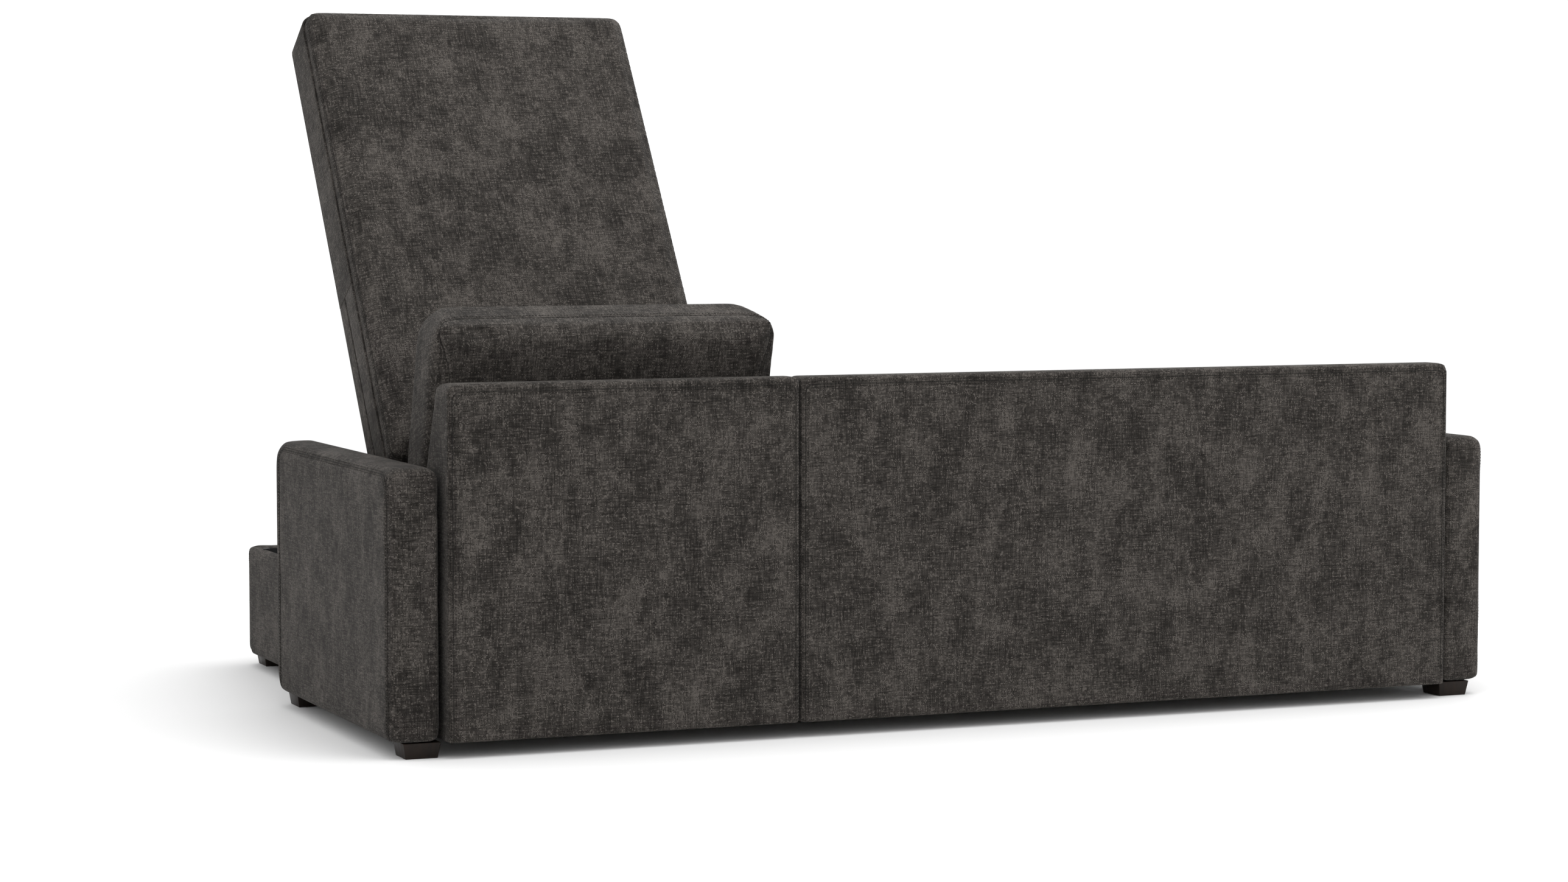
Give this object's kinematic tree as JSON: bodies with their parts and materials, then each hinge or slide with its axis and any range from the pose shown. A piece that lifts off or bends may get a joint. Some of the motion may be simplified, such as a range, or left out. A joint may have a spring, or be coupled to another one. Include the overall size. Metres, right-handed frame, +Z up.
{
  "type": "storage chaise sofa",
  "caption": "Low L-shaped sofa with block feet and a chaise whose long padded seat lifts on gas-spring hinges over an open storage box.",
  "frame": {"origin": "centre of the footprint, on the floor", "axes": "+X along the sofa towards the chaise end, +Y towards its back, +Z up; the seats face -Y"},
  "size_m": [2.45, 1.57, 1.472],
  "materials": {
    "chenille": "charcoal grey-brown slub chenille, matte with a soft sheen",
    "timber": "planed softwood, unfinished",
    "plywood": "birch plywood, unfinished",
    "black_board": "board with a matt black foil face",
    "black_cloth": "black non-woven cloth",
    "webbing": "elastic upholstery webbing",
    "dark_walnut": "dark walnut stain, satin lacquer",
    "rubber_black": "soft black rubber",
    "plastic_black": "black moulded plastic",
    "zinc_steel": "zinc plated",
    "black_steel": "satin black",
    "bright_rod": "ground and polished"
  },
  "bodies": {
    "root": {"chaise_back_cover": "chenille", "chaise_back_frame": "timber", "sofa_back_cover": "chenille", "sofa_back_frame": "timber", "chaise_arm_cover": "chenille", "chaise_arm_frame": "timber", "sofa_arm_cover": "chenille", "sofa_arm_frame": "timber", "box_side_outer": "black_board", "box_side_inner": "black_board", "box_front_board": "black_board", "box_rear_board": "black_board", "box_floor": "black_board", "side_cover_outer": "chenille", "side_cover_inner": "chenille", "front_pad": "chenille", "rim_bumpers": "rubber_black", "deck_board": "black_board", "deck_pad": "chenille", "seat_frame": "timber", "webbing_long": "webbing", "webbing_cross": "webbing", "seat_deck": "black_cloth", "front_border": "chenille", "joint_side_cover": "chenille", "dust_cover": "black_cloth", "feet": "dark_walnut", "foot_bolts": "zinc_steel", "centre_feet": "plastic_black", "connector_plates": "zinc_steel", "connector_hooks": "zinc_steel", "base_plate_outer": "zinc_steel", "base_plate_inner": "zinc_steel", "base_pins": "zinc_steel", "plate_screws": "zinc_steel"},
    "lift_arms": {"lift_arm_outer": "zinc_steel", "lift_arm_inner": "zinc_steel", "arm_pins": "zinc_steel"},
    "lid": {"lid_base_cover": "chenille", "lid_rails": "timber", "lid_board": "plywood", "pad_board": "black_cloth", "lid_pad": "chenille", "lid_bracket_outer": "zinc_steel", "lid_bracket_inner": "zinc_steel", "bracket_screws": "zinc_steel"},
    "control_links": {"control_link_outer": "zinc_steel", "control_link_inner": "zinc_steel", "link_pins": "zinc_steel"},
    "gas_cylinders": {"gas_cylinder_outer": "black_steel", "gas_cylinder_inner": "black_steel"},
    "gas_rods": {"gas_rod_outer": "bright_rod", "gas_rod_inner": "bright_rod"},
    "left_seat_cushion": {"seat_cushion_left": "chenille"},
    "right_seat_cushion": {"seat_cushion_right": "chenille"},
    "chaise_back_cushion": {"back_cushion": "chenille"}
  },
  "joints": [
    {"name": "lid_lift", "type": "hinge", "parent": "root", "child": "lift_arms", "pos_m": [0.7475, 0.048, 0.237], "axis": [1, 0, 0], "range_deg": [-55.2, 0]},
    {"name": "lid_tilt", "type": "hinge", "parent": "lift_arms", "child": "lid", "pos_m": [0.7475, 0.22269, 0.44805], "axis": [1, 0, 0], "range_deg": [0, 111.22]},
    {"name": "link_swing", "type": "hinge", "parent": "root", "child": "control_links", "pos_m": [0.7475, -0.225, 0.112], "axis": [1, 0, 0], "range_deg": [-35.39, 0]},
    {"name": "spring_swing", "type": "hinge", "parent": "root", "child": "gas_cylinders", "pos_m": [0.7475, 0.058, 0.103], "axis": [1, 0, 0], "range_deg": [-27.13, 0]},
    {"name": "spring_stroke", "type": "slide", "parent": "gas_cylinders", "child": "gas_rods", "axis": [0, 0.3551, 0.9348], "range_m": [-0.08031, 0]},
    {"name": "left_seat_cushion_off", "type": "slide", "parent": "root", "child": "left_seat_cushion", "axis": [0, 0, 1], "range_m": [0, 0.35]},
    {"name": "right_seat_cushion_off", "type": "slide", "parent": "root", "child": "right_seat_cushion", "axis": [0, 0, 1], "range_m": [0, 0.35]},
    {"name": "back_cushion_off", "type": "slide", "parent": "root", "child": "chaise_back_cushion", "axis": [0, 0, 1], "range_m": [0, 0.35]}
  ],
  "couplings": [
    {"joint": "lid_tilt", "follows": "lid_lift", "ratio": -2.0145},
    {"joint": "link_swing", "follows": "lid_lift", "ratio": 0.64079},
    {"joint": "spring_swing", "follows": "lid_lift", "ratio": 0.49113},
    {"joint": "spring_stroke", "follows": "lid_lift", "m_per_rad": 0.083157}
  ]
}
